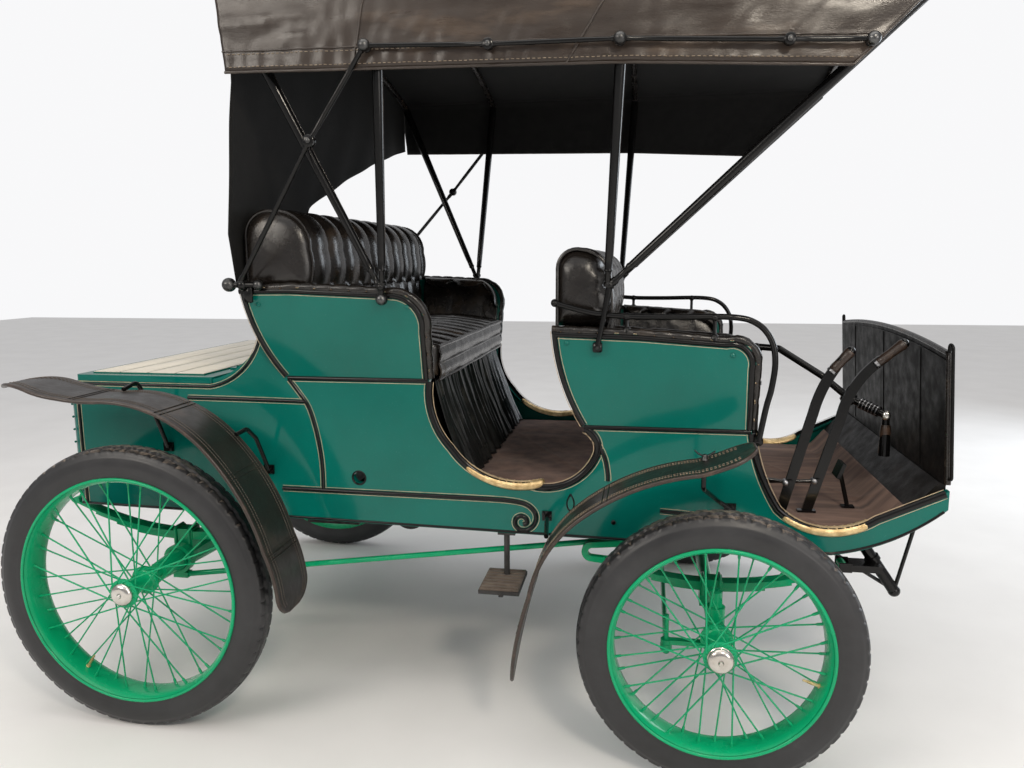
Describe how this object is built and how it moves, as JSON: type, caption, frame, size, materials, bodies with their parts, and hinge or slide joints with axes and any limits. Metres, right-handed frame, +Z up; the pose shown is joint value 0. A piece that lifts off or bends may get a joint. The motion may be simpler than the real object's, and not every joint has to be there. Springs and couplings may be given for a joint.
{
  "type": "horseless carriage with surrey top",
  "caption": "Open early motor carriage with a fixed surrey top, buttoned seats, leather fenders, leaf springs and wire wheels, steered by tiller.",
  "frame": {"origin": "on the ground under the middle of the box around the carriage", "axes": "+X forward, +Y to the carriage's left, +Z up"},
  "size_m": [2.503, 1.585, 1.9899],
  "materials": {
    "teal_paint": "gloss",
    "green_paint": "gloss",
    "black_paint": "gloss",
    "leather": "satin",
    "top_leather": "satin",
    "skirt_cloth": "matte",
    "mat": "matte",
    "tyre": "matte",
    "brass": "polished",
    "iron": "satin"
  },
  "bodies": {
    "carriage": {"body_sides": "teal_paint", "rear_panel": "teal_paint", "deck_riser": "teal_paint", "rear_seat_shell": "teal_paint", "front_seat_shell": "teal_paint", "seat_boxes": "black_paint", "body_floor": "black_paint", "floor_mats": "mat", "dash": "leather", "rear_cushion": "leather", "rear_backrest": "leather", "front_cushion": "leather", "front_backrest": "leather", "seat_skirt": "skirt_cloth", "handrails": "black_paint", "canopy": "top_leather", "rear_curtain": "top_leather", "roof_bows": "black_paint", "top_irons": "black_paint", "sill_plates": "brass", "rear_fenders": "leather", "front_fenders": "leather", "fender_stays": "black_paint", "steps": "iron", "engine_block": "iron", "muffler": "iron", "frame_bars": "green_paint", "front_axle": "green_paint", "rear_axle": "green_paint", "leaf_springs": "green_paint", "steering_bracket": "black_paint", "hand_levers": "black_paint"},
    "deck_lid": {"deck_lid": "teal_paint"},
    "tiller": {"tiller": "black_paint"},
    "knuckle_right": {"knuckle_right": "green_paint"},
    "knuckle_left": {"knuckle_left": "green_paint"},
    "tie_rod": {"tie_rod": "green_paint"},
    "wheel_rear_right": {"wheel_rear_right": "green_paint", "tyre_rear_right": "tyre"},
    "wheel_rear_left": {"wheel_rear_left": "green_paint", "tyre_rear_left": "tyre"},
    "wheel_front_right": {"wheel_front_right": "green_paint", "tyre_front_right": "tyre"},
    "wheel_front_left": {"wheel_front_left": "green_paint", "tyre_front_left": "tyre"}
  },
  "joints": [
    {"name": "rear_right_spin", "type": "hinge", "parent": "carriage", "child": "wheel_rear_right", "pos_m": [-0.8575, -0.71, 0.394], "axis": [0, 1, 0], "continuous": true},
    {"name": "rear_left_spin", "type": "hinge", "parent": "carriage", "child": "wheel_rear_left", "pos_m": [-0.8575, 0.71, 0.394], "axis": [0, 1, 0], "continuous": true},
    {"name": "front_right_spin", "type": "hinge", "parent": "knuckle_right", "child": "wheel_front_right", "pos_m": [0.6915, -0.71, 0.343], "axis": [0, 1, 0], "continuous": true},
    {"name": "front_left_spin", "type": "hinge", "parent": "knuckle_left", "child": "wheel_front_left", "pos_m": [0.6915, 0.71, 0.343], "axis": [0, 1, 0], "continuous": true},
    {"name": "tiller_turn", "type": "hinge", "parent": "carriage", "child": "tiller", "pos_m": [0.8325, -0.1, 0.8], "axis": [0, 0, 1], "range_deg": [-24, 24]},
    {"name": "right_steer", "type": "hinge", "parent": "carriage", "child": "knuckle_right", "pos_m": [0.6915, -0.606, 0.343], "axis": [0, 0, 1], "range_deg": [-24, 24]},
    {"name": "left_steer", "type": "hinge", "parent": "carriage", "child": "knuckle_left", "pos_m": [0.6915, 0.606, 0.343], "axis": [0, 0, 1], "range_deg": [-24, 24]},
    {"name": "tie_rod_swing", "type": "hinge", "parent": "knuckle_right", "child": "tie_rod", "pos_m": [0.5715, -0.606, 0.3], "axis": [0, 0, 1], "range_deg": [-24, 24]},
    {"name": "deck_lid_lift", "type": "hinge", "parent": "carriage", "child": "deck_lid", "pos_m": [-0.7145, 0, 0.9515], "axis": [0, 1, 0], "range_deg": [0, 60]}
  ],
  "couplings": [
    {"joint": "tiller_turn", "follows": "right_steer", "ratio": 1},
    {"joint": "left_steer", "follows": "right_steer", "ratio": 1},
    {"joint": "tie_rod_swing", "follows": "right_steer", "ratio": -1}
  ]
}
